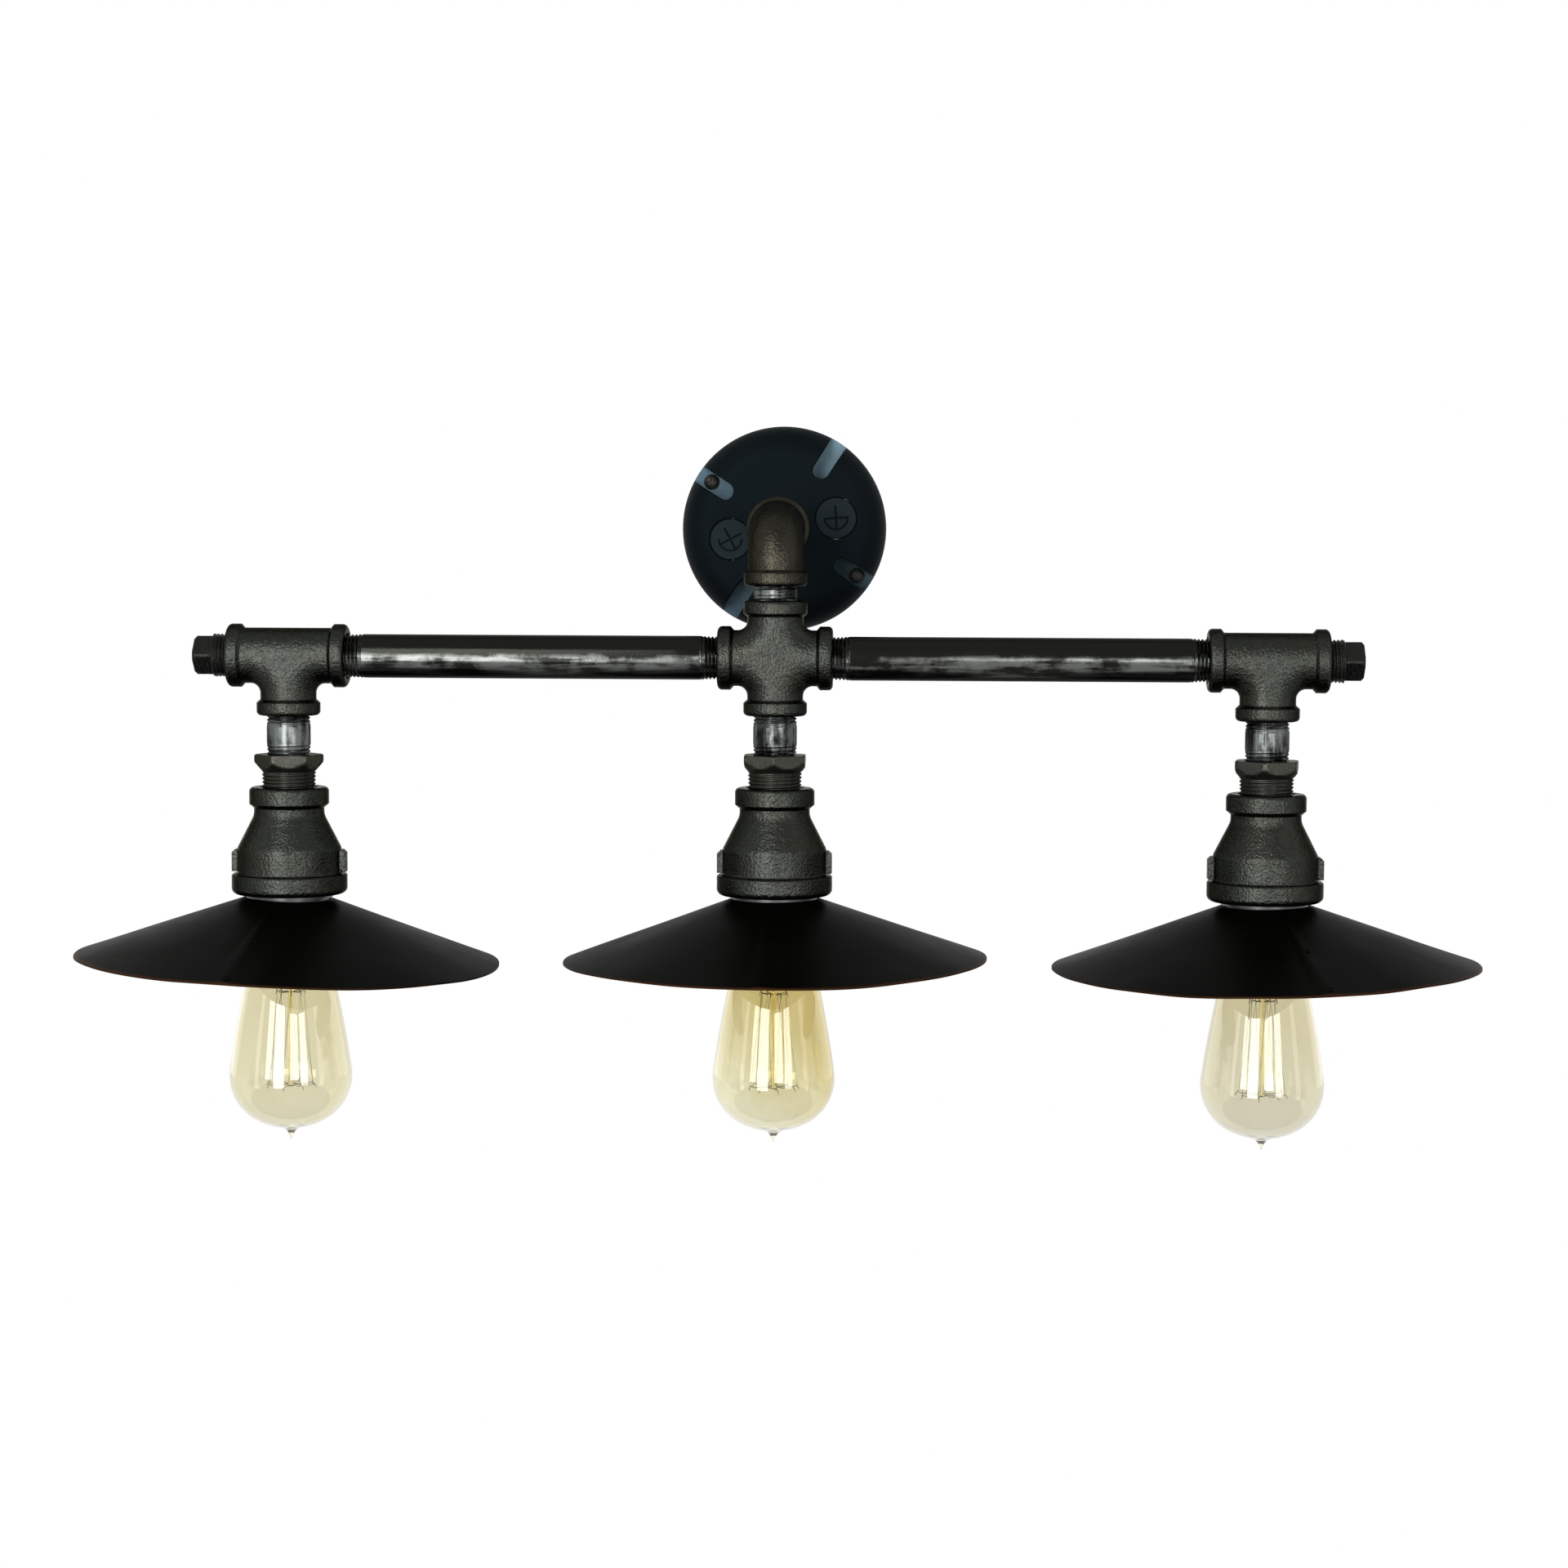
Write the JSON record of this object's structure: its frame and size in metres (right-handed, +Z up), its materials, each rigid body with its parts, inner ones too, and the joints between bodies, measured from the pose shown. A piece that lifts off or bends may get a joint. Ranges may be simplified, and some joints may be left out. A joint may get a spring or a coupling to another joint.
{
  "type": "pipe wall light",
  "caption": "Industrial pipe wall light: threaded pipe arms on a round wall cover, with bell reducers, shallow sheet shades and amber filament bulbs that unscrew downwards.",
  "frame": {"origin": "centre of the two wall screws' circle, on the back face of the cover's gasket, which lies on the wall", "axes": "+Z up, +X to the right as seen from the room, +Y into the wall; the light stands out along -Y"},
  "size_m": [0.6858, 0.2293, 0.354],
  "materials": {
    "cast_iron": "dark oiled cast surface with fine sparkle",
    "pipe_steel": "dark drawn steel, smooth, with bright thread crests",
    "nipple_steel": "dark steel, brighter in the middle, threaded ends",
    "cover": "satin black coating, blue-grey in the screw channels",
    "gasket": "closed-cell foam",
    "screw_steel": "black screw steel",
    "phenolic": "black moulded phenolic",
    "brass": "plain brass",
    "cap_brass": "rolled brass cap",
    "insulator_glass": "black vitrite with a soldered button",
    "amber_glass": "clear glass with a thin amber tint",
    "clear_glass": "clear glass",
    "lamp_wire": "fine drawn wire",
    "shade_paint": "matt black coating with a browned raw edge"
  },
  "bodies": {
    "fixture": {"wall_cover": "cover", "cover_gasket": "gasket", "cover_screws": "screw_steel", "left_closure_plug": "cover", "right_closure_plug": "cover", "wall_nipple": "pipe_steel", "elbow": "cast_iron", "close_nipple": "pipe_steel", "cross": "cast_iron", "left_arm": "pipe_steel", "right_arm": "pipe_steel", "left_tee": "cast_iron", "right_tee": "cast_iron", "left_end_plug": "cast_iron", "right_end_plug": "cast_iron", "left_drop_nipple": "nipple_steel", "left_hex_bushing": "cast_iron", "left_bell_reducer": "cast_iron", "left_lampholder": "phenolic", "left_screw_shell": "brass", "left_centre_contact": "brass", "left_terminal_screws": "brass", "left_shade": "shade_paint", "left_shade_ring": "phenolic", "centre_drop_nipple": "nipple_steel", "centre_hex_bushing": "cast_iron", "centre_bell_reducer": "cast_iron", "centre_lampholder": "phenolic", "centre_screw_shell": "brass", "centre_centre_contact": "brass", "centre_terminal_screws": "brass", "centre_shade": "shade_paint", "centre_shade_ring": "phenolic", "right_drop_nipple": "nipple_steel", "right_hex_bushing": "cast_iron", "right_bell_reducer": "cast_iron", "right_lampholder": "phenolic", "right_screw_shell": "brass", "right_centre_contact": "brass", "right_terminal_screws": "brass", "right_shade": "shade_paint", "right_shade_ring": "phenolic"},
    "left_bulb": {"left_bulb_cap": "cap_brass", "left_bulb_contact": "insulator_glass", "left_bulb_glass": "amber_glass", "left_bulb_stem": "clear_glass", "left_bulb_supports": "lamp_wire", "left_bulb_filament": "lamp_wire"},
    "centre_bulb": {"centre_bulb_cap": "cap_brass", "centre_bulb_contact": "insulator_glass", "centre_bulb_glass": "amber_glass", "centre_bulb_stem": "clear_glass", "centre_bulb_supports": "lamp_wire", "centre_bulb_filament": "lamp_wire"},
    "right_bulb": {"right_bulb_cap": "cap_brass", "right_bulb_contact": "insulator_glass", "right_bulb_glass": "amber_glass", "right_bulb_stem": "clear_glass", "right_bulb_supports": "lamp_wire", "right_bulb_filament": "lamp_wire"}
  },
  "joints": [
    {"name": "left_bulb_unscrew", "type": "slide", "parent": "fixture", "child": "left_bulb", "axis": [0, 0, -1], "range_m": [0, 0.04]},
    {"name": "centre_bulb_unscrew", "type": "slide", "parent": "fixture", "child": "centre_bulb", "axis": [0, 0, -1], "range_m": [0, 0.04]},
    {"name": "right_bulb_unscrew", "type": "slide", "parent": "fixture", "child": "right_bulb", "axis": [0, 0, -1], "range_m": [0, 0.04]}
  ]
}
